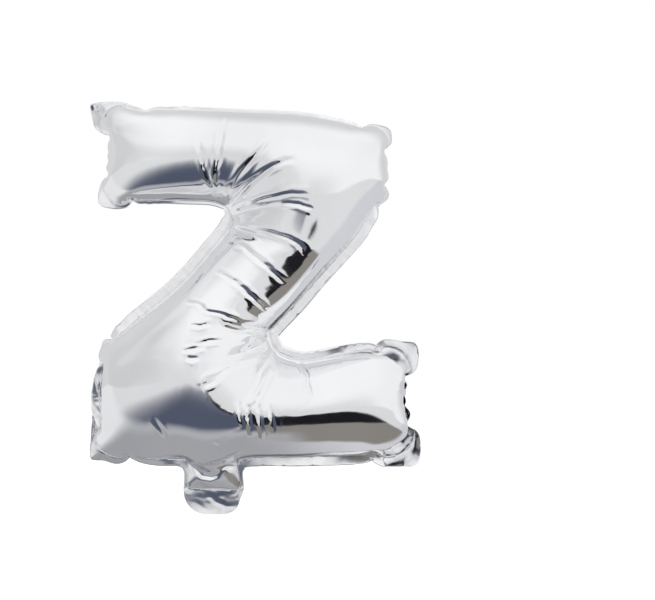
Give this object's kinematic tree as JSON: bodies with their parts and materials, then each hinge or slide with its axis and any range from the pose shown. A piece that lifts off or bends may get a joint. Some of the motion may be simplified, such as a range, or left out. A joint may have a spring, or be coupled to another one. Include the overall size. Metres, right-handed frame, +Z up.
{
  "type": "letter foil balloon",
  "caption": "Silver foil balloon in the shape of a capital letter, puffed, with a welded rim, loose corner tabs and a flat filling tail.",
  "frame": {"origin": "middle of the balloon on its seam plane, where its lift acts and the air holds it", "axes": "+Z up, +X to the right of a person who reads the letter, -Y out of its front face; the seam plane is Y = 0"},
  "size_m": [0.333, 0.1172, 0.411],
  "materials": {
    "silver_foil": "mirror-bright silver foil with fine creases",
    "welded_foil": "satin silver foil, pressed flat and ribbed by the weld",
    "valve_film": "thin glossy film"
  },
  "bodies": {
    "root": {"front_panel": "silver_foil", "back_panel": "silver_foil", "seam_rim": "welded_foil", "tail_front_film": "silver_foil", "tail_back_film": "silver_foil", "valve_liner": "valve_film", "hang_tab_top_left": "silver_foil", "hang_tab_top_right": "silver_foil", "corner_tab_bottom_left": "silver_foil", "corner_tab_bottom_right": "silver_foil"}
  },
  "joints": []
}
